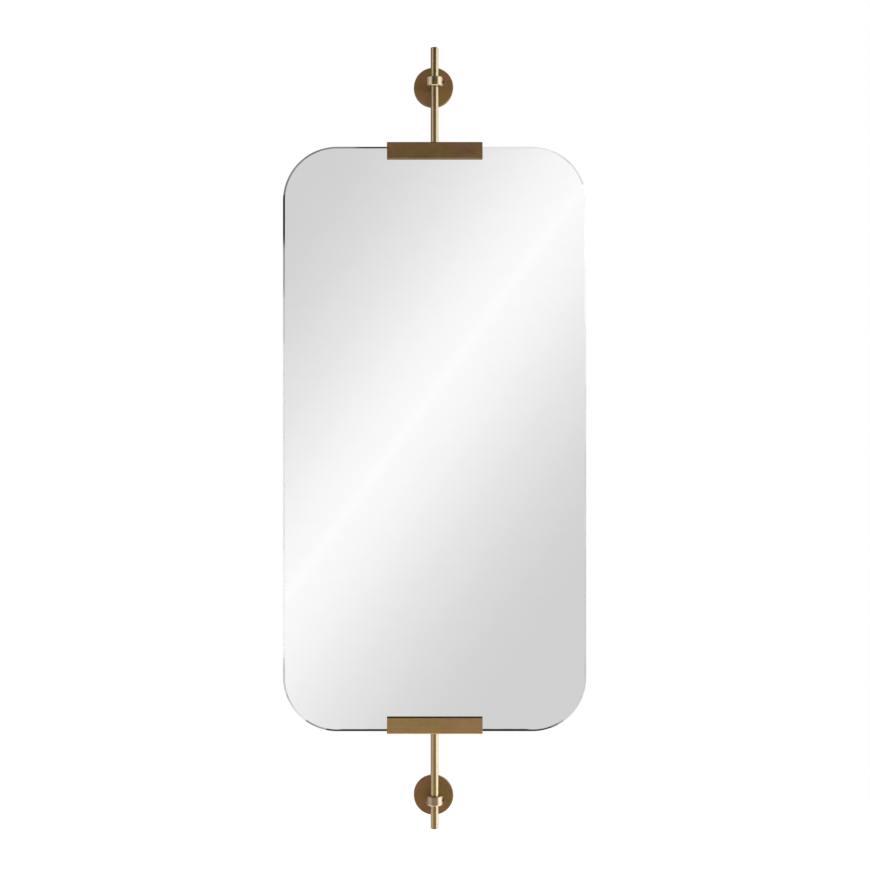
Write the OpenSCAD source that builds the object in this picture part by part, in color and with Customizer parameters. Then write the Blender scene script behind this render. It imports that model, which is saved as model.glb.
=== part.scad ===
// Pivot wall mirror: a frameless silvered pane, clamped at top and bottom in two channel bars,
// which swings on two upright rods between a pair of wall fixings.
// +Z is up, the front faces -Y and the wall is the plane Y = 0.
// The origin is the centre of the four wall screw holes, on the wall.
// All sizes are in millimetres.

/* [Mirror pane] */
// Width of the glass
glass_w = 493; // [400:1:600]
// Height of the glass
glass_h = 950; // [700:5:1100]
// Thickness of the glass
glass_t = 5; // [4:0.5:6]
// Radius of the corners of the glass
corner_r = 88; // [40:1:120]
// Width of the polished bevel along the front edges of the glass
glass_arris = 2.2; // [1:0.1:2.5]
// Thickness of the backing board
board_t = 6; // [5:0.5:9]
// How far the backing board stays inside the edge of the glass
board_inset = 5; // [3:0.5:6]

/* [Clamp bars] */
// Length of each channel bar
bar_l = 155; // [120:1:200]
// Height of each channel bar
bar_h = 27; // [25:0.5:32]
// Wall thickness of the channel
bar_wall = 2.5; // [2.5:0.1:3]
// Thickness of the rubber between channel and glass
gasket_t = 1; // [0.8:0.1:1.5]
// Room above the glass in the upper channel
expansion_gap = 3; // [1:0.5:4]
// Thickness of the pressure plate behind the board
pressure_t = 1.5; // [1:0.5:2]
// Distance between the two clamp screws of a bar
clamp_pitch = 96; // [60:1:100]

/* [Rods] */
// Diameter of the rods and of the posts
rod_d = 12.7; // [12:0.1:14]
// Length of each rod outside its clamp bar
rod_l = 155; // [145:1:190]
// Height of the mirror above the middle of the wall fixings
mirror_lift = 5; // [-15:1:15]
// Distance from a clamp bar to the middle of its collar, with the mirror at mid height
pivot_gap = 104; // [90:1:110]

/* [Wall fixings] */
// Distance from the wall to the axis of the rods
stand_off = 50; // [44:1:70]
// Diameter of the rosette
rosette_d = 65; // [62:1:75]
// Depth of the rosette
rosette_depth = 10; // [9:0.5:14]
// Distance between the two wall screws of a fixing
screw_pitch = 38; // [36:1:40]
// Diameter of the wall screw holes
screw_hole_d = 5.2; // [4.5:0.1:5.5]

/* [Pivot collars] */
// Outer diameter of the collar
collar_d = 26; // [24:0.5:30]
// Height of the collar
collar_h = 15; // [12:0.5:20]
// Wall thickness of the nylon bush inside the collar
bush_t = 1; // [0.8:0.1:1.5]
// How far the collar screw stands out of the collar
screw_proud = 2; // [0:0.1:3]

/* [Hidden] */
$fn = 96;

UPPER = 1;
LOWER = -1;

// Fits
running_gap = 0.05;   // radial clearance of a rod that turns in its bush
seat_gap = 0.02;      // radial clearance of a piece that is pressed or screwed home
over = 1;             // how far a cutting tool runs past the face that it cuts

// Wall plate and rosette
plate_t = 5;
plate_gap = 0.3;
plate_bore_d = 18;
plate_groove = 1;
countersink_d = 10.4;
rosette_skirt_t = 3;
rosette_face_t = 3.5;
rosette_edge_r = 1.2;
rosette_bore_d = rosette_d - 2 * rosette_skirt_t;
rosette_inside = rosette_depth - rosette_face_t;
plate_d = rosette_bore_d - 2 * plate_gap;
grub_d = 3;
grub_sunk = 0.4;
grub_height = 3.2;    // from the wall to the rosette screw and to the groove of the plate
point_share = 0.35;   // the tip of a cone point, as a share of the screw's diameter

// Post, with the screw and washer that hold it to the rosette
spigot_d = 9;
post_thread_d = 6;
post_thread_depth = 15;
post_stud_l = 4.6;
post_screw_l = 12;
post_head_d = 10.5;
post_head_h = 3.3;
post_head_bevel = 0.8;
post_key = 4;
washer_d = 12.4;
washer_bore_d = 6.4;
washer_t = 1.2;
washer_slit = 0.8;

// Collar, bush, plug and set screw
collar_bevel = 1;
bush_d = rod_d + 2 * running_gap + 2 * bush_t;
bush_recess = 0.5;
collar_thread_d = 4;
collar_key = 2;
plug_d = 3.6;
plug_end = rod_d / 2 + running_gap;
plug_l = 2.2;

// Clamp bar, seen from its end
bar_d = 2 * bar_wall + gasket_t + glass_t + board_t + pressure_t + 0.5;
bar_edge_r = 1.2;
bar_end_bevel = 0.4;
bar_inside = bar_d - 2 * bar_wall;
glass_front = -bar_inside / 2 + gasket_t;
board_front = glass_front + glass_t;
pressure_front = board_front + board_t;
bar_span = glass_h + 2 * bar_wall + 2 * gasket_t + expansion_gap;
clamp_depth = 18.5;   // from the outer face of the bar to its clamp screws
clamp_thread_d = 4;
clamp_proud = 0.4;
clamp_key = 2;
gasket_proud = 1;      // how far the rubber shows beyond the lip of the channel
pressure_h = 13;
pressure_end = 6;
board_arris = 2;

// Rod and the screw that holds it to its bar
rod_bevel = 0.7;
rod_thread_d = 5;
rod_thread_depth = 16;
rod_screw_l = 13.5;
rod_screw_head_d = 9.8;
rod_screw_key = 3;

// Places
fixing_height = bar_span / 2 + pivot_gap;
glass_bottom = mirror_lift - bar_span / 2 + bar_wall + gasket_t;
glass_middle = glass_bottom + glass_h / 2;

// Colours
BRASS = [0.58, 0.45, 0.28];
BRIGHT_BRASS = [0.72, 0.60, 0.42];
ZINC = [0.68, 0.69, 0.70];
BLACK_STEEL = [0.10, 0.10, 0.11];
RUBBER = [0.05, 0.05, 0.05];
NYLON = [0.25, 0.20, 0.15];
SILVERED = [0.86, 0.88, 0.89];
BOARD = [0.24, 0.20, 0.17];

// Sets what is drawn outwards from the wall, along +Z, at the upper or lower fixing
module on_wall(side) {
  translate([0, 0, side * fixing_height]) rotate([90, 0, 0]) children();
}

// Sets what is drawn round the pivot axis at the upper or lower collar
module on_pivot(side) {
  translate([0, -stand_off, side * fixing_height]) children();
}

// Sets what is drawn downwards from the outer face of a bar, with its rod along +Z.
// The lower bar and rod are the upper ones turned end for end.
module on_bar(side) {
  translate([0, -stand_off, mirror_lift + side * bar_span / 2])
    rotate([0, side == UPPER ? 0 : 180, 0]) children();
}

// Cylinder from one height to another
module pin(d, from, to) {
  translate([0, 0, from]) cylinder(d = d, h = to - from);
}

// Cone from one height to another
module cone(d_from, d_to, from, to) {
  translate([0, 0, from]) cylinder(d1 = d_from, d2 = d_to, h = to - from);
}

// Hexagonal key socket, by its width across the flats
module key_socket(across, from, to) {
  translate([0, 0, from]) cylinder(d = across / cos(30), h = to - from, $fn = 6);
}

// Headless screw with a key socket in its outer end, and a cone point or a flat end inside
module grub_screw(d, key, inner, outer, point = 0) {
  key_depth = (outer - inner - point) * 0.5;
  end_bevel = d * 0.08;
  difference() {
    union() {
      if (point > 0) cone(d * point_share, d, inner, inner + point);
      pin(d, inner + point, outer - end_bevel);
      cone(d, d - 2 * end_bevel, outer - end_bevel, outer);
    }
    key_socket(key, outer - key_depth, outer + over);
  }
}

// Slab with round corners and both edges bevelled: its back is at Z = 0 and its front at Z = t
module bevelled_slab(w, h, t, r, back, front) {
  module across(half) {
    polygon([
      [-half + back, 0], [half - back, 0], [half, back], [half, t - front],
      [half - front, t], [-half + front, t], [-half, t - front], [-half, back]
    ]);
  }
  rotate([90, 0, 0]) linear_extrude(h - 2 * r, center = true) across(w / 2);
  rotate([90, 0, 90]) linear_extrude(w - 2 * r, center = true) across(h / 2);
  for (turn = [0, 1, 2, 3]) {
    reach = turn % 2 == 0 ? [w / 2 - r, h / 2 - r] : [h / 2 - r, w / 2 - r];
    rotate([0, 0, turn * 90]) translate(reach)
      rotate_extrude(angle = 90) intersection() {
        across(r);
        square([r, t]);
      }
  }
}

// Square with round corners, from true arcs
module rounded_square(w, h, r) {
  translate([r, 0]) square([w - 2 * r, h]);
  translate([0, r]) square([w, h - 2 * r]);
  for (x = [r, w - r], y = [r, h - r]) translate([x, y]) circle(r);
}

// ---- Wall fixings ----

// Mounting plate that is screwed to the wall; the groove round its rim takes the rosette screw
module wall_plate(side) {
  rim = plate_d / 2;
  bore = plate_bore_d / 2;
  sink_depth = (countersink_d - screw_hole_d) / 2;
  color(ZINC) on_wall(side) difference() {
    rotate_extrude() polygon([
      [bore, 0], [rim, 0], [rim, grub_height - plate_groove],
      [rim - plate_groove, grub_height], [rim, grub_height + plate_groove],
      [rim, plate_t], [bore, plate_t]
    ]);
    for (x = [-1, 1] * screw_pitch / 2) translate([x, 0, 0]) {
      pin(screw_hole_d, -over, plate_t + over);
      cone(screw_hole_d, countersink_d, plate_t - sink_depth, plate_t);
    }
  }
}

// Turned cup that covers the plate and carries the post
module rosette(side) {
  color(BRASS) on_wall(side) difference() {
    rotate_extrude() difference() {
      intersection() {
        translate([-rosette_d / 2, -rosette_depth])
          rounded_square(rosette_d, 2 * rosette_depth, rosette_edge_r);
        square([rosette_d / 2, rosette_depth]);
      }
      translate([0, -over]) square([rosette_bore_d / 2, rosette_inside + over]);
      square([spigot_d / 2 + seat_gap, rosette_depth + over]);
    }
    translate([0, 0, grub_height]) rotate([90, 0, 0])
      pin(grub_d + 2 * seat_gap, rosette_bore_d / 2 - over, rosette_d / 2 + over);
  }
}

// Grub screw through the underside of the rosette into the groove of the plate
module rosette_screw(side) {
  groove_bottom = plate_d / 2 - plate_groove;
  inner = groove_bottom + grub_d * point_share / 2 + seat_gap;
  outer = rosette_d / 2 - grub_sunk;
  color(BLACK_STEEL) on_wall(side) translate([0, 0, grub_height]) rotate([90, 0, 0])
    grub_screw(grub_d, grub_d / 2, inner, outer, plate_groove);
}

// Post from the rosette to the collar: its end is coped to the collar, with a stud into it
module post(side) {
  bore_r = post_thread_d / 2;
  collar_back = stand_off - collar_d / 2;
  inside = rosette_inside + 0.1;
  color(BRIGHT_BRASS) on_wall(side) difference() {
    union() {
      pin(spigot_d, inside, rosette_depth + over);
      difference() {
        pin(rod_d, rosette_depth, stand_off);
        translate([0, 0, stand_off]) rotate([90, 0, 0])
          cylinder(d = collar_d, h = 2 * rod_d, center = true);
      }
      pin(post_thread_d, collar_back - over, collar_back + post_stud_l);
    }
    pin(2 * (bore_r + seat_gap), inside - over, inside + post_thread_depth);
  }
}

// Screw that holds the post, through the rosette from behind
module post_screw(side) {
  head = rosette_inside - washer_t - post_head_h;
  neck = rosette_inside - washer_t;
  color(ZINC) on_wall(side) difference() {
    union() {
      cone(post_head_d - 2 * post_head_bevel, post_head_d, head, head + post_head_bevel);
      pin(post_head_d, head + post_head_bevel, neck);
      pin(post_thread_d, neck - over, neck + post_screw_l);
    }
    key_socket(post_key, head - over, head + post_head_h * 0.6);
  }
}

// Split spring washer under the head of the post screw
module post_washer(side) {
  color(ZINC) on_wall(side) difference() {
    pin(washer_d, rosette_inside - washer_t, rosette_inside);
    pin(washer_bore_d, rosette_inside - washer_t - over, rosette_inside + over);
    translate([0, washer_d / 2, rosette_inside - washer_t / 2]) rotate([0, 20, 0])
      cube([washer_slit, washer_d, 3 * washer_t], center = true);
  }
}

// ---- Pivot collars ----

// Collar that the rod turns in
module collar(side) {
  outer = collar_d / 2;
  inner = bush_d / 2 + seat_gap;
  color(BRIGHT_BRASS) on_pivot(side) difference() {
    translate([0, 0, -collar_h / 2]) rotate_extrude() polygon([
      [inner, 0], [outer - collar_bevel, 0], [outer, collar_bevel],
      [outer, collar_h - collar_bevel], [outer - collar_bevel, collar_h], [inner, collar_h]
    ]);
    rotate([-90, 0, 0])
      pin(post_thread_d + 2 * seat_gap, outer - post_stud_l - 0.2, outer + over);
    rotate([0, 90, 0]) pin(collar_thread_d + 2 * seat_gap, inner - over, outer + over);
  }
}

// Nylon sleeve in the collar, with a window for the plug
module collar_bush(side) {
  length = collar_h - 2 * bush_recess;
  color(NYLON) on_pivot(side) difference() {
    pin(bush_d, -length / 2, length / 2);
    pin(rod_d + 2 * running_gap, -length / 2 - over, length / 2 + over);
    rotate([0, 90, 0]) pin(plug_d + 2 * seat_gap, 0, collar_d / 2);
  }
}

// Nylon plug that the set screw presses on the rod
module collar_plug(side) {
  color(NYLON) on_pivot(side) rotate([0, 90, 0]) pin(plug_d, plug_end, plug_end + plug_l);
}

// Set screw in the side of the collar, which sets how stiffly the mirror swings
module collar_screw(side) {
  color(BLACK_STEEL) on_pivot(side) rotate([0, 90, 0])
    grub_screw(collar_thread_d, collar_key, plug_end + plug_l, collar_d / 2 + screw_proud);
}

// ---- Mirror ----

// Silvered pane
module mirror_glass() {
  color(SILVERED) translate([0, -stand_off + board_front, glass_middle]) rotate([90, 0, 0])
    bevelled_slab(glass_w, glass_h, glass_t, corner_r, glass_arris / 2, glass_arris);
}

// Board that stiffens the pane and takes the pressure of the clamp screws
module backing_board() {
  color(BOARD) translate([0, -stand_off + pressure_front, glass_middle]) rotate([90, 0, 0])
    bevelled_slab(
      glass_w - 2 * board_inset, glass_h - 2 * board_inset, board_t,
      corner_r - board_inset, board_arris, 0
    );
}

// Rectangle with 45 degree corners, centred
module bevelled_square(w, h, bevel) {
  x = w / 2;
  y = h / 2;
  polygon([
    [-x + bevel, -y], [x - bevel, -y], [x, -y + bevel], [x, y - bevel],
    [x - bevel, y], [-x + bevel, y], [-x, y - bevel], [-x, -y + bevel]
  ]);
}

// Solid bar with round edges along it, and bevelled ends
module bar_blank() {
  intersection() {
    rotate([90, 0, 90]) linear_extrude(bar_l, center = true)
      translate([-bar_d / 2, -bar_h]) rounded_square(bar_d, bar_h, bar_edge_r);
    translate([0, 0, -bar_h - over]) linear_extrude(bar_h + 2 * over)
      bevelled_square(bar_l, bar_d, bar_end_bevel);
    translate([0, 0, -bar_h / 2]) rotate([90, 0, 0])
      linear_extrude(bar_d + 2 * over, center = true)
        bevelled_square(bar_l, bar_h, bar_end_bevel);
  }
}

// Channel that grips the edge of the pane, tapped for its clamp screws
module clamp_bar(side) {
  sink = rod_screw_head_d / 2 - rod_thread_d / 2;
  color(BRASS) on_bar(side) difference() {
    bar_blank();
    rotate([90, 0, 90]) linear_extrude(bar_l + 2 * over, center = true)
      translate([-bar_inside / 2, -bar_h - over]) square([bar_inside, bar_h + over - bar_wall]);
    pin(rod_thread_d + 2 * seat_gap, -bar_wall - over, over);
    cone(rod_screw_head_d, rod_thread_d, -bar_wall, sink - bar_wall);
    for (x = [-1, 1] * clamp_pitch / 2) translate([x, 0, -clamp_depth]) rotate([-90, 0, 0])
      pin(clamp_thread_d + 2 * seat_gap, bar_inside / 2 - over, bar_d / 2 + over);
  }
}

// Rubber strip between the channel and the front and edge of the glass
module gasket(side) {
  front = -bar_inside / 2;
  lip = bar_h + gasket_proud;
  color(RUBBER) on_bar(side) rotate([90, 0, 90]) linear_extrude(bar_l, center = true)
    polygon([
      [front, -lip], [glass_front, -lip], [glass_front, -bar_wall - gasket_t],
      [pressure_front, -bar_wall - gasket_t], [pressure_front, -bar_wall], [front, -bar_wall]
    ]);
}

// Steel strip that spreads the pressure of the clamp screws over the board
module pressure_plate(side) {
  length = bar_l - 2 * pressure_end;
  color(ZINC) on_bar(side)
    translate([-length / 2, pressure_front + pressure_t, -clamp_depth - pressure_h / 2])
      rotate([90, 0, 0]) linear_extrude(pressure_t) rounded_square(length, pressure_h, 2);
}

// Two grub screws through the back of the channel on to the pressure plate
module clamp_screws(side) {
  color(BLACK_STEEL) on_bar(side)
    for (x = [-1, 1] * clamp_pitch / 2) translate([x, 0, -clamp_depth]) rotate([-90, 0, 0])
      grub_screw(clamp_thread_d, clamp_key, pressure_front + pressure_t, bar_d / 2 + clamp_proud);
}

// Rod that stands on the bar and turns in the collar, tapped for its screw
module rod(side) {
  color(BRIGHT_BRASS) on_bar(side) difference() {
    union() {
      pin(rod_d, 0, rod_l - rod_bevel);
      cone(rod_d, rod_d - 2 * rod_bevel, rod_l - rod_bevel, rod_l);
    }
    pin(rod_thread_d + 2 * seat_gap, -over, rod_thread_depth);
  }
}

// Countersunk screw that holds the rod, through the bar from inside the channel
module rod_screw(side) {
  head_h = rod_screw_head_d / 2 - rod_thread_d / 2;
  head = seat_gap - bar_wall;
  color(ZINC) on_bar(side) difference() {
    union() {
      cone(rod_screw_head_d - 2 * seat_gap, rod_thread_d - 2 * seat_gap, head, head + head_h);
      pin(rod_thread_d, head + head_h - seat_gap, rod_screw_l);
    }
    key_socket(rod_screw_key, head - over, head + head_h * 0.7);
  }
}

wall_plate(UPPER);  // upper_wall_plate
wall_plate(LOWER);  // lower_wall_plate
rosette(UPPER);  // upper_rosette
rosette(LOWER);  // lower_rosette
rosette_screw(UPPER);  // upper_rosette_screw
rosette_screw(LOWER);  // lower_rosette_screw
post(UPPER);  // upper_post
post(LOWER);  // lower_post
post_screw(UPPER);  // upper_post_screw
post_screw(LOWER);  // lower_post_screw
post_washer(UPPER);  // upper_post_washer
post_washer(LOWER);  // lower_post_washer
collar(UPPER);  // upper_collar
collar(LOWER);  // lower_collar
collar_bush(UPPER);  // upper_collar_bush
collar_bush(LOWER);  // lower_collar_bush
collar_plug(UPPER);  // upper_collar_plug
collar_plug(LOWER);  // lower_collar_plug
collar_screw(UPPER);  // upper_collar_screw
collar_screw(LOWER);  // lower_collar_screw
mirror_glass();
backing_board();
clamp_bar(UPPER);  // upper_clamp_bar
clamp_bar(LOWER);  // lower_clamp_bar
gasket(UPPER);  // upper_gasket
gasket(LOWER);  // lower_gasket
pressure_plate(UPPER);  // upper_pressure_plate
pressure_plate(LOWER);  // lower_pressure_plate
clamp_screws(UPPER);  // upper_clamp_screws
clamp_screws(LOWER);  // lower_clamp_screws
rod(UPPER);  // upper_rod
rod(LOWER);  // lower_rod
rod_screw(UPPER);  // upper_rod_screw
rod_screw(LOWER);  // lower_rod_screw
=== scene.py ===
import math

import bmesh
import bpy
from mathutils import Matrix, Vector


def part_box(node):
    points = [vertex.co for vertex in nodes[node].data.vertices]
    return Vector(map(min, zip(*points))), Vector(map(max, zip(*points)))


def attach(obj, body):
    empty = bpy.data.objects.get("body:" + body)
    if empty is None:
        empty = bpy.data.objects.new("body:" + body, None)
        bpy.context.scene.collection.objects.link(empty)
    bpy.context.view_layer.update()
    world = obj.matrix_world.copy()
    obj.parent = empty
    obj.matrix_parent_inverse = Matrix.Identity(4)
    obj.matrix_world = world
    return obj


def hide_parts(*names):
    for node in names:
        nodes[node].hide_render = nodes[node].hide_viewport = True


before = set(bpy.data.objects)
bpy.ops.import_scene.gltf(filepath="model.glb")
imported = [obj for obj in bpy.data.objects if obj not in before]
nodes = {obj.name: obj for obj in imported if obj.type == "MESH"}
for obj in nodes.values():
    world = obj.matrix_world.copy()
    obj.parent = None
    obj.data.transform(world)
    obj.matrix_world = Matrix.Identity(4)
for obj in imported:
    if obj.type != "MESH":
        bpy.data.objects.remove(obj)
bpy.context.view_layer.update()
scene = bpy.context.scene

SIDES = ("upper", "lower")
PIVOT_Y = -0.050  # the mirror turns about the upright line x = 0 at this y
FIXING_Z = 0.584  # the fixings are centred this far above and below z = 0
GLASS_R = 0.088
BEVEL_INSET = 0.0035
BEVEL_DEPTH = 0.0044
BACK_ARRIS = 0.0004

# ---------------------------------------------------------------- node helpers


class Graph:
    """Adds nodes to a node tree. Inputs are numbers, tuples or output sockets."""

    def __init__(self, tree):
        self.tree = tree
        tree.nodes.clear()

    def node(self, kind, inputs, **props):
        made = self.tree.nodes.new(kind)
        for name, value in props.items():
            setattr(made, name, value)
        for name, value in inputs.items():
            self.set(made.inputs[name], value)
        return made

    def source(self, kind):
        """Outputs of a node whose inputs stay as they are."""
        return self.node(kind, {}).outputs

    def set(self, socket, value):
        if isinstance(value, bpy.types.NodeSocket):
            self.tree.links.new(value, socket)
        else:
            socket.default_value = value

    def math(self, operation, *values):
        inputs = dict(enumerate(values))
        return self.node("ShaderNodeMath", inputs, operation=operation).outputs[0]

    def scaled(self, value, factor, base):
        """value times factor, plus base."""
        return self.math("MULTIPLY_ADD", value, factor, base)

    def vector(self, operation, *values):
        inputs = dict(enumerate(values))
        made = self.node("ShaderNodeVectorMath", inputs, operation=operation)
        scalar = operation in ("DOT_PRODUCT", "LENGTH")
        return made.outputs["Value" if scalar else "Vector"]

    def stretch(self, vector, x, y, z):
        """Space scaled along each axis. A noise in it is drawn out where the scale is
        low."""
        return self.vector("MULTIPLY", vector, (x, y, z))

    def split(self, vector):
        return self.node("ShaderNodeSeparateXYZ", {0: vector}).outputs

    def join(self, x, y, z):
        return self.node("ShaderNodeCombineXYZ", {0: x, 1: y, 2: z}).outputs[0]

    def noise(self, vector, scale, detail, roughness=0.5, distortion=0.0):
        made = self.node("ShaderNodeTexNoise", {
            "Vector": vector, "Scale": scale, "Detail": detail,
            "Roughness": roughness, "Distortion": distortion,
        })
        return made.outputs[0]

    def fade(self, value, start, end, low=0.0, high=1.0):
        """Smooth step from low to high as value goes from start to end."""
        return self.node("ShaderNodeMapRange", {
            "Value": value, "From Min": start, "From Max": end,
            "To Min": low, "To Max": high,
        }, interpolation_type="SMOOTHSTEP").outputs[0]

    def mix(self, share, a, b):
        """Colour a with a share of colour b over it."""
        # the node has other sockets for numbers and vectors in between
        inputs = {0: share, 6: a, 7: b}
        return self.node("ShaderNodeMix", inputs, data_type="RGBA").outputs[2]

    def ramp(self, value, stops):
        """Grey level by value, linear between stops."""
        made = self.node("ShaderNodeValToRGB", {0: value})
        elements = made.color_ramp.elements
        while len(elements) < len(stops):
            elements.new(1.0)
        for element, (place, level) in zip(elements, stops):
            element.position = place
            element.color = rgb(level, level, level)
        return made.outputs[0]

    def bump(self, height, depth):
        inputs = {"Height": height, "Distance": depth}
        return self.node("ShaderNodeBump", inputs).outputs[0]


def rgb(r, g, b):
    """Linear colour with alpha."""
    return (r, g, b, 1.0)


# Cosine of the angle between a face and the same face with its edges rounded off: where
# the mask of the edges begins, and where it is full.
EDGE_COSINES = (0.99, 0.90)
EDGE_SAMPLES = 6
PATCHES = (0.35, 0.65)  # the noise levels between which the wear comes in
MOST_WORN = 0.95


def edge_mask(g, radius):
    """1 on the sharp edges of a piece, 0 on its faces."""
    rounded = g.node("ShaderNodeBevel", {"Radius": radius}, samples=EDGE_SAMPLES)
    normal = g.source("ShaderNodeNewGeometry")["Normal"]
    return g.fade(g.vector("DOT_PRODUCT", rounded.outputs[0], normal), *EDGE_COSINES)


def worn_edges(g, radius, patches, least=0.25):
    """Edge wear that comes and goes with a noise."""
    share = g.fade(patches, *PATCHES, least, MOST_WORN)
    return g.math("MULTIPLY", edge_mask(g, radius), share)


def new_material(name):
    """Empty material, its graph, and the place on the object in metres."""
    material = bpy.data.materials.new(name)
    material.use_nodes = True
    graph = Graph(material.node_tree)
    return material, graph, graph.source("ShaderNodeTexCoord")["Object"]


def finish_material(graph, color, roughness, metallic, normal=None, **sockets):
    inputs = {"Base Color": color, "Roughness": roughness, "Metallic": metallic}
    if normal is not None:
        inputs["Normal"] = normal
    inputs.update(sockets)
    shader = graph.node("ShaderNodeBsdfPrincipled", inputs)
    graph.node("ShaderNodeOutputMaterial", {"Surface": shader.outputs[0]})


# ----------------------------------------------------------------------- brass

BRUSH_DEPTH = 8e-6
BRUSH_ACROSS = 1500.0
BRUSH_ALONG = 14.0
RING_SCALE = 1700.0
RING_TURN = 1.6
COAT_ROUGHNESS = 0.06


def shifted(color, red, green, blue):
    """Colour with each channel multiplied."""
    return rgb(color[0] * red, color[1] * green, color[2] * blue)


def brass(
    name, grain, tones, roughness, patina=0.35, hue=0.05, metal=1.0, lacquer=0.0,
    coat_ior=1.42,
):
    """Aged brass. grain(graph, place) stretches space along the brushing, and tones are
    the worn, the usual and the tarnished colour. patina is how much tarnish there is,
    and hue how far the colour drifts towards red and green. metal is less than 1 where
    a film takes a part of the shine."""
    material, g, place = new_material(name)
    worn, usual, tarnished = tones
    lines = grain(g, place)
    fine = g.noise(lines, 1.0, 3.0, 0.6)
    coarse = g.noise(lines, 0.23, 2.0, 0.5)
    clouds = g.noise(place, 38.0, 4.0, 0.62, 0.6)
    blotches = g.noise(place, 150.0, 3.0, 0.55, 0.3)
    specks = g.noise(place, 1500.0, 2.0, 0.5)

    swathes = g.noise(place, 22.0, 3.0, 0.5, 0.8)
    tarnish = g.math("MULTIPLY", g.fade(clouds, 0.36, 0.68), patina)
    tarnish = g.scaled(g.fade(blotches, 0.45, 0.75), patina * 0.5, tarnish)
    ruddy = shifted(usual, 1 + hue, 1 - hue, 1 + 2 * hue)
    olive = shifted(usual, 1 - hue, 1 + hue, 1 - 3 * hue)
    color = g.mix(g.fade(swathes, 0.38, 0.62), ruddy, olive)
    color = g.mix(tarnish, color, rgb(*tarnished))
    color = g.mix(g.fade(coarse, 0.45, 0.75, 0.0, 0.22), color, rgb(*worn))
    color = g.mix(g.fade(fine, 0.35, 0.72, 0.0, 0.30), color, rgb(*worn))
    color = g.mix(g.fade(specks, 0.66, 0.78, 0.0, 0.45), color, rgb(*tarnished))
    # handling has rubbed the edges bright again, here and there
    rubbed = worn_edges(g, 6e-4, blotches)
    color = g.mix(rubbed, color, shifted(worn, 1.15, 1.15, 1.15))

    rough = g.scaled(fine, 0.10, roughness - 0.05)
    rough = g.scaled(tarnish, 0.16, rough)
    rough = g.scaled(rubbed, -0.08, rough)
    normal = g.bump(g.scaled(coarse, 0.5, fine), BRUSH_DEPTH)
    finish_material(g, color, rough, metal, normal, **{
        "Coat Weight": lacquer, "Coat Roughness": COAT_ROUGHNESS, "Coat IOR": coat_ior,
    })
    return material


def along(axis):
    """Grain that runs along one axis."""
    scale = [BRUSH_ACROSS] * 3
    scale["xyz".index(axis)] = BRUSH_ALONG
    return lambda g, place: g.stretch(place, *scale)


def round_collar(g, place):
    """Grain in rings round the pivot line."""
    return g.stretch(place, 40.0, 40.0, 2200.0)


def turned(g, place):
    """Grain in rings round the middle of the nearer rosette."""
    x, y, z = g.split(place)
    height = g.math("SUBTRACT", g.math("ABSOLUTE", z), FIXING_Z)
    radius = g.vector("LENGTH", g.join(x, height, 0.0))
    angle = g.math("ARCTAN2", height, x)
    return g.join(
        g.math("MULTIPLY", radius, RING_SCALE), g.math("MULTIPLY", angle, RING_TURN),
        g.math("MULTIPLY", y, RING_SCALE),
    )


ANTIQUE = ((0.37, 0.235, 0.113), (0.288, 0.168, 0.071), (0.166, 0.087, 0.035))
TANNED = ((0.35, 0.202, 0.090), (0.272, 0.147, 0.058), (0.156, 0.077, 0.029))
POLISHED = ((0.33, 0.228, 0.086), (0.255, 0.158, 0.042), (0.145, 0.082, 0.021))
WARM = ((0.34, 0.220, 0.108), (0.262, 0.150, 0.056), (0.148, 0.078, 0.028))
LACQUERED = {"lacquer": 1.0, "metal": 0.9}

bar_brass = brass("aged_brass_bar", along("x"), ANTIQUE, 0.34)
disc_brass = brass("aged_brass_turned", turned, TANNED, 0.42, hue=0.09)
rod_brass = brass("rod_brass_drawn", along("z"), POLISHED, 0.18, 0.22, **LACQUERED)
post_brass = brass("rod_brass_post", along("y"), POLISHED, 0.20, 0.25, **LACQUERED)
collar_brass = brass(
    "rod_brass_collar", round_collar, WARM, 0.17, 0.22, coat_ior=1.75, **LACQUERED,
)

# ------------------------------------------------------------- other materials


def zinc(name):
    """Bright zinc plate on steel, with its faint spangle and handling marks."""
    material, g, place = new_material(name)
    cells = g.node("ShaderNodeTexVoronoi", {"Vector": place, "Scale": 420.0}).outputs[0]
    clouds = g.noise(place, 60.0, 4.0, 0.6, 0.4)
    scuffs = g.noise(g.stretch(place, 1100.0, 60.0, 300.0), 1.0, 3.0, 0.6)
    pale, paler = rgb(0.50, 0.52, 0.54), rgb(0.60, 0.61, 0.62)
    color = g.mix(g.fade(cells, 0.1, 0.9), pale, paler)
    color = g.mix(g.fade(clouds, 0.45, 0.72, 0.0, 0.6), color, rgb(0.40, 0.39, 0.36))
    color = g.mix(g.fade(scuffs, 0.62, 0.75, 0.0, 0.5), color, rgb(0.74, 0.75, 0.76))
    # on the edges the plate is rubbed down to the darker steel
    worn = worn_edges(g, 4e-4, clouds)
    color = g.mix(worn, color, rgb(0.30, 0.285, 0.27))
    rough = g.scaled(worn, -0.08, g.scaled(clouds, 0.28, 0.20))
    height = g.scaled(cells, 0.5, scuffs)
    finish_material(g, color, rough, 1.0, g.bump(height, 6e-6))
    return material


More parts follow.
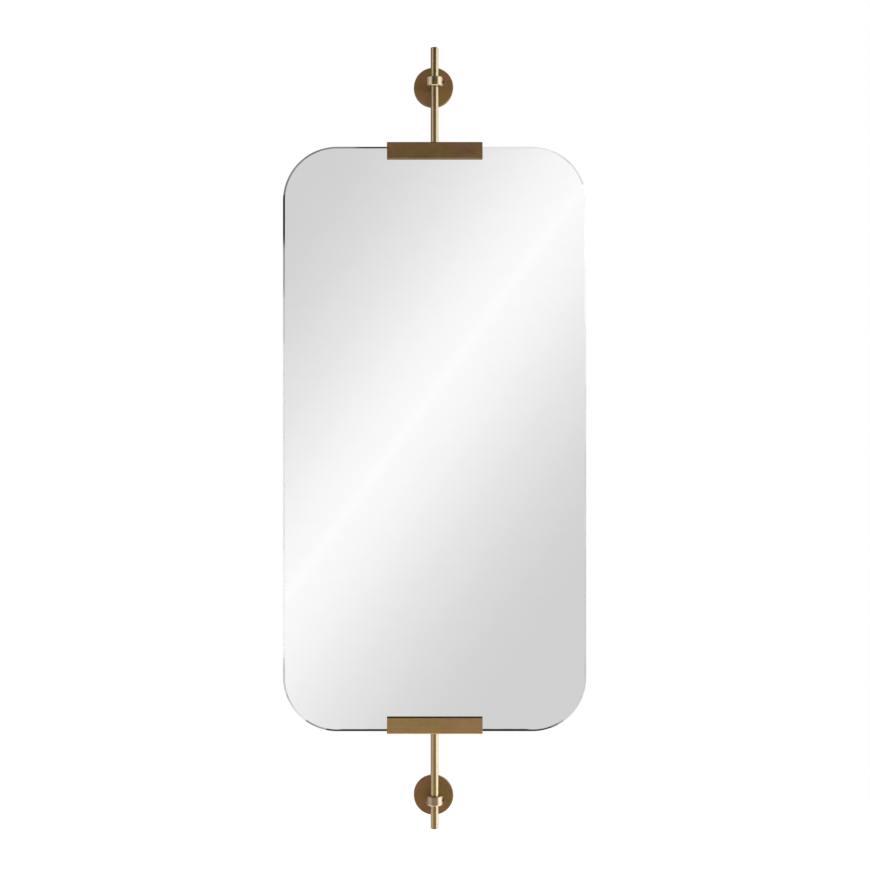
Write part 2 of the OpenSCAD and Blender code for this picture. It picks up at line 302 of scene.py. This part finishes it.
def black_oxide(name):
    """Blackened steel, rubbed grey where a key or thread has worked on it."""
    material, g, place = new_material(name)
    grains = g.noise(place, 2600.0, 3.0, 0.6)
    clouds = g.noise(place, 500.0, 3.0, 0.6, 0.5)
    black, brownish = rgb(0.020, 0.020, 0.022), rgb(0.045, 0.043, 0.042)
    color = g.mix(g.fade(clouds, 0.40, 0.70), black, brownish)
    color = g.mix(g.fade(grains, 0.62, 0.74, 0.0, 0.5), color, rgb(0.16, 0.155, 0.15))
    worn = worn_edges(g, 1.5e-4, clouds)
    color = g.mix(worn, color, rgb(0.24, 0.23, 0.22))
    rough = g.scaled(worn, -0.08, g.scaled(grains, 0.25, 0.26))
    finish_material(g, color, rough, 0.85, g.bump(grains, 1e-5))
    return material


def rubber(name):
    """Black extruded rubber, with dust in its surface."""
    material, g, place = new_material(name)
    ribs = g.noise(g.stretch(place, 30.0, 1800.0, 1800.0), 1.0, 2.0)
    dust = g.noise(place, 900.0, 4.0, 0.7)
    black, dusty = rgb(0.012, 0.012, 0.012), rgb(0.060, 0.058, 0.055)
    color = g.mix(g.fade(dust, 0.55, 0.80, 0.0, 0.6), black, dusty)
    worn = worn_edges(g, 3e-4, dust)
    color = g.mix(worn, color, rgb(0.075, 0.073, 0.070))
    rough = g.scaled(worn, 0.12, g.scaled(dust, 0.30, 0.50))
    height = g.scaled(ribs, 0.8, dust)
    finish_material(g, color, rough, 0.0, g.bump(height, 2e-5))
    return material


def nylon(name):
    """Brown oil-filled nylon with turning marks, made very dark, partly as painted
    shade for the gap round the rod.
    """
    material, g, place = new_material(name)
    rings = g.noise(g.stretch(place, 60.0, 60.0, 2600.0), 1.0, 2.0)
    clouds = g.noise(place, 320.0, 3.0, 0.6)
    # very dark: the nylon's own brown, darkened further as painted shade in the gap
    # between collar and rod
    color = g.mix(clouds, rgb(0.040, 0.028, 0.018), rgb(0.075, 0.052, 0.034))
    worn = worn_edges(g, 3e-4, clouds)
    color = g.mix(worn, color, rgb(0.120, 0.092, 0.066))
    rough = g.scaled(worn, 0.15, g.scaled(rings, 0.20, 0.36))
    finish_material(g, color, rough, 0.0, g.bump(rings, 1e-5))
    return material


# Painted shade on the edge of the board, in the corner under the pane: the edge is dark
# from its front to the first y, and from the second it is as pale as the rest.
BOARD_SHADE_Y = -0.0471
BOARD_UNSHADED_Y = -0.0455


def hardboard(name):
    """Dark lacquered fibreboard, with matted fibres and a few scuffs."""
    material, g, place = new_material(name)
    upright = g.noise(g.stretch(place, 900.0, 900.0, 120.0), 1.0, 4.0, 0.7, 1.2)
    level = g.noise(g.stretch(place, 110.0, 900.0, 950.0), 1.0, 4.0, 0.7, 1.2)
    fibres = g.math("MAXIMUM", upright, level)
    clouds = g.noise(place, 14.0, 4.0, 0.6, 0.4)
    flecks = g.noise(place, 620.0, 2.0, 0.5)
    dark, pale = rgb(0.050, 0.036, 0.027), rgb(0.072, 0.053, 0.040)
    color = g.mix(g.fade(clouds, 0.30, 0.70), dark, pale)
    color = g.mix(g.fade(fibres, 0.52, 0.74, 0.0, 0.7), color, rgb(0.115, 0.086, 0.064))
    color = g.mix(g.fade(flecks, 0.68, 0.76, 0.0, 0.8), color, rgb(0.024, 0.018, 0.014))
    # painted shade: the edge is darker where it meets the back of the pane
    edge_shade = g.fade(g.split(place)["Y"], BOARD_SHADE_Y, BOARD_UNSHADED_Y, 0.55, 0.0)
    color = g.mix(edge_shade, color, rgb(0.030, 0.021, 0.015))
    # the lacquer is knocked off the arris, down to the pale fibre
    worn = worn_edges(g, 9e-4, fibres, 0.10)
    color = g.mix(worn, color, rgb(0.175, 0.128, 0.088))
    rough = g.scaled(worn, 0.25, g.scaled(fibres, 0.26, 0.38))
    normal = g.bump(g.scaled(clouds, 0.6, fibres), 5e-5)
    finish_material(g, color, rough, 0.0, normal, **{"Specular IOR Level": 0.4})
    return material


# Painted shade: a dark line along the bottom of the silver. Below are the two x between
# which its height goes from the first value to the second, the two heights, which a
# noise scales, the softness of its top and the length over which its two ends fade.
SHADE_LINE_X = (-0.10, 0.06)
SHADE_LINE_REACH = (0.0009, 0.0015)
SHADE_LINE_SOFT = 0.0004
SHADE_LINE_ENDS = 0.012
SILVER_ROUGHNESS = 0.004


def silvering(name):
    """The silvered face, with the faint smears that a cloth leaves and painted shade
    along its bottom edge.
    """
    material, g, place = new_material(name)
    wipes = g.noise(g.stretch(place, 9.0, 1.0, 26.0), 1.0, 5.0, 0.65, 1.5)
    dust = g.noise(place, 1400.0, 2.0, 0.5)
    haze = g.math("MULTIPLY", g.fade(wipes, 0.52, 0.80), 0.018)
    haze = g.math("ADD", haze, g.fade(dust, 0.74, 0.80, 0.0, 0.03))
    clean, smeared = rgb(0.930, 0.933, 0.930), rgb(0.918, 0.924, 0.922)
    color = g.mix(g.fade(wipes, 0.35, 0.75), clean, smeared)
    # along the bevel the silver has gone a little dull, here and there
    worn = worn_edges(g, 8e-4, g.noise(place, 90.0, 3.0, 0.6), 0.0)
    color = g.mix(worn, color, rgb(0.62, 0.63, 0.61))
    # painted shade: a dark line along the bottom of the silver, between the corners
    low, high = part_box("mirror_glass")
    x, _, z = g.split(place)
    shade_line_noise = g.noise(g.stretch(place, 70.0, 1.0, 70.0), 1.0, 3.0, 0.6)
    reach = g.math("MULTIPLY", shade_line_noise, g.fade(x, *SHADE_LINE_X, *SHADE_LINE_REACH))
    above = g.math("SUBTRACT", g.math("SUBTRACT", z, low.z + BEVEL_INSET), reach)
    bottom_shade = g.fade(above, 0.0, SHADE_LINE_SOFT, 1.0, 0.0)
    straight = high.x - GLASS_R
    between = g.fade(g.math("ABSOLUTE", x), straight - SHADE_LINE_ENDS, straight, 1.0, 0.0)
    color = g.mix(g.math("MULTIPLY", bottom_shade, between), color, rgb(0.030, 0.028, 0.026))
    rough = g.scaled(worn, 0.12, g.math("ADD", haze, SILVER_ROUGHNESS))
    finish_material(g, color, rough, 1.0)
    return material


# The edge of the glass is dark as far back as the first y, near the end of the bevel,
# and green from the second.
GLASS_DARK_Y = -0.0517
GLASS_GREEN_Y = -0.0511
GLASS_IOR = 1.52
GLASS_SPECULAR = 0.15


def ground_edge(name):
    """The polished edge of float glass: green in its depth, dark against the silver."""
    material, g, place = new_material(name)
    streaks = g.noise(g.stretch(place, 1.0, 2600.0, 1.0), 1.0, 3.0, 0.6)
    clouds = g.noise(place, 70.0, 4.0, 0.6, 0.5)
    depth = g.fade(g.split(place)["Y"], GLASS_DARK_Y, GLASS_GREEN_Y)
    color = g.mix(depth, rgb(0.006, 0.010, 0.008), rgb(0.085, 0.170, 0.140))
    deeper = g.math("MULTIPLY", depth, g.fade(clouds, 0.40, 0.70, 0.0, 0.5))
    color = g.mix(deeper, color, rgb(0.045, 0.085, 0.070))
    # fine chips along the arrises
    chips = worn_edges(g, 2e-4, g.noise(place, 2200.0, 2.0, 0.6), 0.0)
    color = g.mix(chips, color, rgb(0.16, 0.20, 0.18))
    rough = g.scaled(chips, 0.25, g.scaled(streaks, 0.06, 0.06))
    finish_material(
        g, color, rough, 0.0, g.bump(streaks, 5e-7),
        **{"IOR": GLASS_IOR, "Specular IOR Level": GLASS_SPECULAR},
    )
    return material


def back_paint(name):
    """Grey protective paint over the copper and silver, rolled on."""
    material, g, place = new_material(name)
    roller = g.noise(g.stretch(place, 24.0, 200.0, 380.0), 1.0, 4.0, 0.6)
    specks = g.noise(place, 1200.0, 2.0, 0.5)
    thick, thin = rgb(0.120, 0.128, 0.132), rgb(0.165, 0.172, 0.175)
    color = g.mix(g.fade(roller, 0.35, 0.70), thick, thin)
    color = g.mix(g.fade(specks, 0.68, 0.76, 0.0, 0.7), color, rgb(0.050, 0.052, 0.054))
    # chipped along the edge, down to the copper
    worn = worn_edges(g, 7e-4, g.noise(place, 260.0, 3.0, 0.6), 0.0)
    color = g.mix(worn, color, rgb(0.33, 0.17, 0.10))
    rough = g.scaled(worn, -0.10, g.scaled(roller, 0.25, 0.42))
    finish_material(g, color, rough, 0.0, g.bump(roller, 2e-5))
    return material


zinc_steel = zinc("zinc_steel")
black_steel = black_oxide("black_steel")
black_rubber = rubber("black_rubber")
nylon_dark_as_shade = nylon("nylon")
board = hardboard("backing_board")
mirror_face = silvering("silvered_glass")
glass_edge = ground_edge("glass_edge")
mirror_back = back_paint("mirror_back_paint")

FINISHES = {
    "wall_plate": zinc_steel, "rosette": disc_brass, "rosette_screw": black_steel,
    "post": post_brass, "post_screw": zinc_steel, "post_washer": zinc_steel,
    "collar": collar_brass, "collar_bush": nylon_dark_as_shade, "collar_plug": nylon_dark_as_shade,
    "collar_screw": black_steel, "clamp_bar": bar_brass, "gasket": black_rubber,
    "pressure_plate": zinc_steel, "clamp_screws": black_steel, "rod": rod_brass,
    "rod_screw": zinc_steel,
}


def both(*parts):
    """CAD nodes of the upper and of the lower side."""
    return [nodes[f"{side}_{part}"] for side in SIDES for part in parts]


def finish_node(node, material):
    node.data.materials.clear()
    node.data.materials.append(material)


for part, material in FINISHES.items():
    for node in both(part):
        finish_node(node, material)
finish_node(nodes["backing_board"], board)

# ---------------------------------------------------------------- mesh helpers


def bridge(bm, ring, after):
    """Faces between two rings of vertices."""
    faces = []
    for i in range(len(ring)):
        j = (i + 1) % len(ring)
        faces.append(bm.faces.new((ring[i], ring[j], after[j], after[i])))
    return faces


def mesh_object(name, bm, *materials):
    """Object made of a bmesh, which is used up."""
    mesh = bpy.data.meshes.new(name)
    bm.to_mesh(mesh)
    bm.free()
    for material in materials:
        mesh.materials.append(material)
    made = bpy.data.objects.new(name, mesh)
    scene.collection.objects.link(made)
    return made


# ----------------------------------------------------------------- mirror pane

CORNER_STEPS = 40
FACE, EDGE, BACK = range(3)  # material slots


def outline(low, high, inset):
    """Points of the pane's outline, inset, in X and Z."""
    left, right = low.x + GLASS_R, high.x - GLASS_R
    bottom, top = low.z + GLASS_R, high.z - GLASS_R
    radius = GLASS_R - inset
    points = []
    for turn, (x, z) in enumerate((
        (right, top), (left, top), (left, bottom), (right, bottom),
    )):
        for step in range(CORNER_STEPS + 1):
            angle = math.radians(90.0 * (turn + step / CORNER_STEPS))
            points.append((x + radius * math.cos(angle), z + radius * math.sin(angle)))
    return points


def make_pane():
    """Pane with a silvered face, a polished bevelled edge and a painted back."""
    low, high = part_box("mirror_glass")
    levels = (
        (low.y, BEVEL_INSET), (low.y + BEVEL_DEPTH, 0.0),
        (high.y - BACK_ARRIS, 0.0), (high.y, BACK_ARRIS),
    )
    bm = bmesh.new()
    rings = [
        [bm.verts.new((x, y, z)) for x, z in outline(low, high, inset)]
        for y, inset in levels
    ]
    for ring, after in zip(rings, rings[1:]):
        for face in bridge(bm, ring, after):
            face.material_index = EDGE
            face.smooth = True
    bm.faces.new(rings[0]).material_index = FACE
    bm.faces.new(rings[-1]).material_index = BACK
    bmesh.ops.recalc_face_normals(bm, faces=bm.faces)
    # the bevel is flat across and smooth along the outline
    for ring in rings:
        for a, b in zip(ring, ring[1:] + ring[:1]):
            bm.edges.get((a, b)).smooth = False
    pane = mesh_object("mirror_pane", bm, mirror_face, glass_edge, mirror_back)
    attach(pane, "mirror")
    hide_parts("mirror_glass")
    return pane


pane = make_pane()

# --------------------------------------------------------------- collar screws

THREAD_R = 0.00200
THREAD_DEPTH = 0.00040
THREAD_PITCH = 0.00070
THREAD_SLOPE = 1.5  # above 1, the valleys have a flat bottom
END_BEVEL = 0.16 * THREAD_R
KEY_HALF = 0.00100
KEY_DEPTH = 0.00320
KEY_LIP = 0.10 * END_BEVEL
KEY_LEAD = 0.4 * END_BEVEL
ROUND_STEPS = 48
PITCH_STEPS = 8


def hexagon(turn):
    """Radius of the key socket, by the share of a turn."""
    return KEY_HALF / math.cos(2 * math.pi * (turn % (1 / 6) - 1 / 12))


def threaded_screw(side):
    """Set screw with a real thread and a key socket, in the place of the CAD screw."""
    node = f"{side}_collar_screw"
    low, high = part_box(node)
    middle = (low.z + high.z) / 2
    first, last = low.x + END_BEVEL, high.x - END_BEVEL
    bm = bmesh.new()

    def ring(x, radius_at):
        points = []
        for step in range(ROUND_STEPS):
            turn = step / ROUND_STEPS
            angle = 2 * math.pi * turn
            radius = radius_at(turn)
            y, z = radius * math.cos(angle), radius * math.sin(angle)
            points.append(bm.verts.new((x, PIVOT_Y + y, middle + z)))
        return points

    def thread(x):
        """Radius round the thread at x: a wave that winds along the screw and runs out
        over a pitch at each end."""
        run_out = min(1.0, (last - x) / THREAD_PITCH, (x - low.x) / THREAD_PITCH)

        def radius_at(turn):
            phase = (x / THREAD_PITCH - turn) % 1.0
            valley = min(1.0, THREAD_SLOPE * (1.0 - abs(2.0 * phase - 1.0)))
            return THREAD_R - THREAD_DEPTH * valley * max(run_out, 0.0)
        return radius_at

    rows = round((last - low.x) / THREAD_PITCH * PITCH_STEPS)
    rings = [ring(low.x, lambda turn: THREAD_R - 2 * END_BEVEL)]
    for row in range(rows + 1):
        x = first + (last - first) * row / rows
        rings.append(ring(x, thread(x)))
    rings.append(ring(high.x, lambda turn: THREAD_R - END_BEVEL))
    shank = len(rings)
    rings.append(ring(high.x, lambda turn: hexagon(turn) + KEY_LIP))
    rings.append(ring(high.x - KEY_LEAD, hexagon))
    rings.append(ring(high.x - KEY_DEPTH, hexagon))
    for count, (a, b) in enumerate(zip(rings, rings[1:]), 1):
        for face in bridge(bm, a, b):
            face.smooth = count < shank
    bm.faces.new(rings[0])
    bm.faces.new(rings[-1])
    bmesh.ops.recalc_face_normals(bm, faces=bm.faces)
    screw = mesh_object(f"{side}_set_screw", bm, black_steel)
    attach(screw, "wall_fixings")
    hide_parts(node)
    return screw


set_screws = [threaded_screw(side) for side in SIDES]

# ---------------------------------------------------------------------- camera

FRAME_PX = 870
FOCAL_PX = 1690.8
OPTICAL_PX = (369.4, 448.5)
CAMERA = Vector((-0.106, -2.800, -0.012))
SENSOR = 36.0

camera_data = bpy.data.cameras.new("camera")
camera_data.sensor_width = SENSOR
camera_data.lens = SENSOR * FOCAL_PX / FRAME_PX
camera_data.shift_x = (FRAME_PX / 2 - OPTICAL_PX[0]) / FRAME_PX
camera_data.shift_y = (OPTICAL_PX[1] - FRAME_PX / 2) / FRAME_PX
camera = bpy.data.objects.new("camera", camera_data)
camera.location = CAMERA
camera.rotation_euler = (math.radians(90.0), 0.0, 0.0)
scene.collection.objects.link(camera)
scene.camera = camera

# ----------------------------------------------------------------------- floor

WHITE = rgb(1.0, 1.0, 1.0)
FLOOR_Z = -1.10
FLOOR_HALF = 2.9
FLOOR_FADE = 1.5
FLOOR_COLOR = rgb(0.80, 0.80, 0.80)
SHOWN_GLOW = 0.20  # to camera, glossy and transmission rays
CAMERA_GLOW = 0.40  # to camera rays, on top of that


def floor_material():
    material = bpy.data.materials.new("pale_floor")
    material.use_nodes = True
    g = Graph(material.node_tree)
    rays = g.source("ShaderNodeLightPath")
    shown = g.math("MAXIMUM", rays["Is Camera Ray"], rays["Is Glossy Ray"])
    shown = g.math("MAXIMUM", shown, rays["Is Transmission Ray"])
    pale = g.node("ShaderNodeBsdfDiffuse", {"Color": FLOOR_COLOR})
    glow = g.math("MULTIPLY", shown, SHOWN_GLOW)
    glow = g.scaled(rays["Is Camera Ray"], CAMERA_GLOW, glow)
    glow = g.node("ShaderNodeEmission", {"Color": WHITE, "Strength": glow})
    solid = g.node("ShaderNodeAddShader", {0: pale.outputs[0], 1: glow.outputs[0]})
    # far out the floor melts into the studio, and from below it is clear
    place = g.source("ShaderNodeTexCoord")["Object"]
    far = g.fade(g.vector("LENGTH", place), FLOOR_FADE, FLOOR_HALF)
    below = g.source("ShaderNodeNewGeometry")["Backfacing"]
    clear = g.math("MAXIMUM", far, below)
    nothing = g.source("ShaderNodeBsdfTransparent")[0]
    faded = g.node("ShaderNodeMixShader", {0: clear, 1: solid.outputs[0], 2: nothing})
    g.node("ShaderNodeOutputMaterial", {"Surface": faded.outputs[0]})
    return material


def make_floor():
    bm = bmesh.new()
    bmesh.ops.create_grid(bm, x_segments=1, y_segments=1, size=FLOOR_HALF)
    floor = mesh_object("floor", bm, floor_material())
    floor.location = (0.0, 0.0, FLOOR_Z)


make_floor()

# ---------------------------------------------------------------------- studio

# The mirror reflects a wide card in front of the object, which is brightest along a
# slanting line. RIDGE is the normal of the plane through that line, and CARD gives the
# level by the sine of the angle off that plane.
RIDGE = Vector((1.0, 0.014, -0.72)).normalized()
RIDGE_LEVEL = 1.043
CARD = [
    (0.000, 1.000), (0.005, 0.978), (0.016, 0.961), (0.032, 0.912), (0.060, 0.814),
    (0.090, 0.724), (0.110, 0.678), (0.130, 0.657),
]
CARD_WIDTH = 0.15

# Where the parts of the studio meet, in the direction's x, y or z, and their levels.
CARD_X = 0.04
PANE_Z = (0.150, 0.172)  # the pane's height ends and the fixings' height begins
FIXINGS_ASIDE = (0.12, 0.25)
SIDE_LEVEL = 0.45
PANE_ASIDE = (0.14, 0.60)
WIDE_LEVEL = 0.50
CARD_TOP_Z = (0.180, 0.215)
TOP_LEVEL = 0.14
LOW_Z = (-0.175, -0.24)
LOW_LEVEL = 0.60
BEHIND_Y = (-0.25, 0.45)
FLAG_X = (-0.45, 0.10)
FLAG_LEVEL = 0.15
AMBIENT_Z = (-0.6, 0.9)
AMBIENT_LEVELS = (0.52, 0.66)


def make_world():
    world = bpy.data.worlds.new("studio")
    scene.world = world
    world.use_nodes = True
    world.cycles.sampling_method = "NONE"
    g = Graph(world.node_tree)
    way = g.source("ShaderNodeTexCoord")["Generated"]
    x, y, z = g.split(way)
    rays = g.source("ShaderNodeLightPath")

    off = g.math("ABSOLUTE", g.vector("DOT_PRODUCT", way, tuple(RIDGE)))
    stops = [(place / CARD_WIDTH, level) for place, level in CARD]
    card = g.ramp(g.math("DIVIDE", off, CARD_WIDTH), stops)
    card = g.math("MULTIPLY", card, RIDGE_LEVEL)
    # Beside and above the card the studio is dim, and below it is the pale floor. At
    # the height of the pane it dims slowly, and the pane shows that when it swings.
    aside = g.math("ABSOLUTE", g.math("SUBTRACT", x, CARD_X))
    beside_fixings = g.fade(aside, *FIXINGS_ASIDE, 1.0, SIDE_LEVEL)
    beside_pane = g.fade(aside, *PANE_ASIDE, 1.0, WIDE_LEVEL)
    beside = g.fade(g.math("ABSOLUTE", z), *PANE_Z, beside_pane, beside_fixings)
    card = g.math("MULTIPLY", card, beside)
    front = g.math("MULTIPLY", card, g.fade(z, *CARD_TOP_Z, 1.0, TOP_LEVEL))
    low = g.fade(z, *LOW_Z)
    front = g.math("MULTIPLY", front, g.math("SUBTRACT", 1.0, low))
    front = g.scaled(low, LOW_LEVEL, front)
    # behind the object is the white background, with a dark flag on the left
    behind = g.fade(y, *BEHIND_Y)
    white = g.fade(x, *FLAG_X, FLAG_LEVEL, 1.0)
    studio = g.scaled(behind, g.math("SUBTRACT", white, front), front)

    # glossy rays see the studio, camera rays see white, and the rest the ambient light
    ambient = g.fade(z, *AMBIENT_Z, *AMBIENT_LEVELS)
    extra = g.math("SUBTRACT", studio, ambient)
    level = g.math("ADD", ambient, g.math("MULTIPLY", rays["Is Glossy Ray"], extra))
    seen = g.math("MAXIMUM", rays["Is Camera Ray"], rays["Is Transmission Ray"])
    extra = g.math("SUBTRACT", 1.0, level)
    level = g.math("ADD", level, g.math("MULTIPLY", seen, extra))
    shader = g.node("ShaderNodeBackground", {"Color": WHITE, "Strength": level})
    g.node("ShaderNodeOutputWorld", {"Surface": shader.outputs[0]})


make_world()

# ----------------------------------------------------------------------- lamps


def area_light(name, place, target, size, radiance, diffuse=True, glossy=True):
    """Rectangular lamp by its radiance, so that 1 looks white in a mirror."""
    data = bpy.data.lights.new(name, "AREA")
    data.shape = "RECTANGLE"
    data.size, data.size_y = size
    data.energy = radiance * math.pi * size[0] * size[1]
    lamp = bpy.data.objects.new(name, data)
    lamp.location = place
    aim = Vector(target) - Vector(place)
    lamp.rotation_euler = aim.to_track_quat("-Z", "Y").to_euler()
    lamp.visible_diffuse = diffuse
    lamp.visible_glossy = glossy
    lamp.visible_camera = False
    scene.collection.objects.link(lamp)
    return lamp


area_light(
    "key", place=(-1.1, -2.6, 1.9), target=(0, 0, 0), size=(1.6, 1.6), radiance=1.1,
    glossy=False,
)
area_light(
    "fill_back", place=(0.8, 2.4, 1.6), target=(0, 0, 0), size=(1.8, 1.8), radiance=0.9,
    glossy=False,
)


def panel(name, radiance, low, high, seen_by):
    """Flat softbox between two corners. It faces the object, and only the reflections
    on the objects of one collection show it."""
    low, high = Vector(low), Vector(high)
    middle = (low + high) / 2
    size = high - low
    flat = min(range(3), key=lambda axis: size[axis])
    target = middle.copy()
    target[flat] = 0.0
    across, tall = [size[axis] for axis in range(3) if axis != flat]
    lamp = area_light(name, middle, target, (across, tall), radiance, diffuse=False)
    lamp.light_linking.receiver_collection = seen_by
    return lamp


def collection_of(name, objects):
    made = bpy.data.collections.new(name)
    for item in objects:
        made.objects.link(item)
    return made


SHINY = [
    part for part, material in FINISHES.items()
    if material not in (black_rubber, nylon_dark_as_shade)
]
metal = collection_of("metal", both(*SHINY) + set_screws)
lips = collection_of("lips", both("clamp_bar", "collar"))
rods = collection_of("rods", both("rod", "post"))
discs = collection_of("discs", both("rosette"))
collars = collection_of("collars", both("collar"))
turned_pieces = collection_of("turned_pieces", both("rosette") + both("collar"))
glass = collection_of("glass", [pane])

# Name, radiance, two corners and the pieces that reflect it. The first word of the name
# picks the tint.
METAL_PANELS = (
    ("box_right_high", 0.9, (1.40, -2.47, 0.0), (1.40, 1.10, 1.30), metal),
    ("strip_right_high", 2.5, (1.30, -1.14, 0.0), (1.30, 0.11, 1.30), turned_pieces),
    ("rods_right_high", 3.4, (1.30, -0.98, 0.0), (1.30, 0.11, 1.30), rods),
    ("box_right_low", 1.1, (1.40, -3.60, -1.08), (1.40, 1.10, -0.02), metal),
    ("strip_right_low", 2.5, (1.30, -0.96, -1.08), (1.30, 0.30, -0.02), turned_pieces),
    ("rods_right_low", 3.1, (1.30, -1.20, -1.08), (1.30, 0.30, -0.02), rods),
    ("box_left_high", 0.35, (-1.40, -2.68, 0.0), (-1.40, 0.76, 1.30), metal),
    ("strip_left_high", 1.0, (-1.30, -1.49, 0.0), (-1.30, -0.05, 1.30), turned_pieces),
    ("rods_left_high", 1.25, (-1.30, -1.55, 0.0), (-1.30, -0.05, 1.30), rods),
    ("box_left_low", 0.6, (-1.40, -2.68, -1.08), (-1.40, 0.76, -0.02), metal),
    ("strip_left_low", 0.2, (-1.30, -1.07, -1.08), (-1.30, 0.06, -0.02), turned_pieces),
    ("rods_left_low", 0.64, (-1.30, -2.40, -1.08), (-1.30, 0.60, -0.02), rods),
    ("box_under", 2.6, (-0.90, -1.20, -1.08), (0.90, 0.40, -1.08), lips),
    ("box_high", 0.5, (-0.80, -2.20, 0.40), (1.40, -2.20, 1.30), discs),
    ("box_collar_left", 0.6, (-1.35, -1.40, 0.0), (-1.35, 1.10, 1.30), collars),
)
TINTS = {
    "box": (0.94, 1.00, 1.06), "strip": (0.90, 1.00, 1.12), "rods": (0.80, 1.07, 1.62),
}
for name, radiance, low, high, seen_by in METAL_PANELS:
    lamp = panel(name, radiance, low, high, seen_by)
    lamp.data.color = TINTS[name.split("_")[0]]

# Strips round the pane, which only its polished bevel catches: they lie so far behind
# the plane of its face that the face misses them in every pose. Each is cut into equal
# lengths along its longest side, with a radiance for each.
GLASS_PANELS = (
    ("rim_right_low", (12.7, 12.7, 13.9, 15.4), (1.60, 0.28, -1.08), (1.60, 0.72, 0.0)),
    ("rim_right_high", (17.3, 19.3, 22.3, 24.6), (1.60, 0.28, 0.0), (1.60, 0.72, 0.60)),
    ("rim_right_top", (21.6, 12.8, 12.6), (1.60, 0.35, 0.60), (1.60, 0.95, 1.90)),
    ("rim_top_right", (14.2, 13.2, 11.6, 10.6),
     (0.10, 0.35, 1.90), (1.60, 1.00, 1.90)),
    ("rim_floor_right", (0.4, 1.8, 5.7, 10.7),
     (0.36, 0.13, -1.08), (0.76, 0.45, -1.08)),
    ("rim_floor_right_out", (11.0,), (0.76, 0.28, -1.08), (1.60, 0.65, -1.08)),
    ("rim_floor_left", (10.4, 5.2, 1.5), (-0.60, 0.10, -1.08), (-0.30, 0.42, -1.08)),
    ("rim_floor_left_mid", (16.4, 17.3), (-1.10, 0.19, -1.08), (-0.60, 0.50, -1.08)),
    ("rim_floor_left_out", (13.0, 15.0), (-1.60, 0.28, -1.08), (-1.10, 0.60, -1.08)),
    ("rim_left_low", (17.2, 18.9, 31.0, 27.5),
     (-1.60, 0.285, -1.08), (-1.60, 0.55, 0.0)),
    ("rim_left_high", (25.8, 25.0, 20.0, 12.5),
     (-1.60, 0.285, 0.0), (-1.60, 0.55, 0.50)),
    ("rim_left_top", (5.6,), (-1.60, 0.30, 0.75), (-1.60, 0.90, 1.90)),
    ("rim_top_left", (4.9, 3.3, 4.0), (-1.60, 0.38, 1.90), (-0.15, 0.95, 1.90)),
)
for name, radiances, low, high in GLASS_PANELS:
    low, high = Vector(low), Vector(high)
    size = high - low
    longest = max(range(3), key=lambda axis: size[axis])
    step = Vector((0.0, 0.0, 0.0))
    step[longest] = size[longest] / len(radiances)
    for count, radiance in enumerate(radiances):
        start = low + count * step
        end = high.copy()
        end[longest] = start[longest] + step[longest]
        panel(f"{name}_{count}", radiance, start, end, glass)

# ---------------------------------------------------------------------- finish

scene.view_settings.view_transform = "Standard"
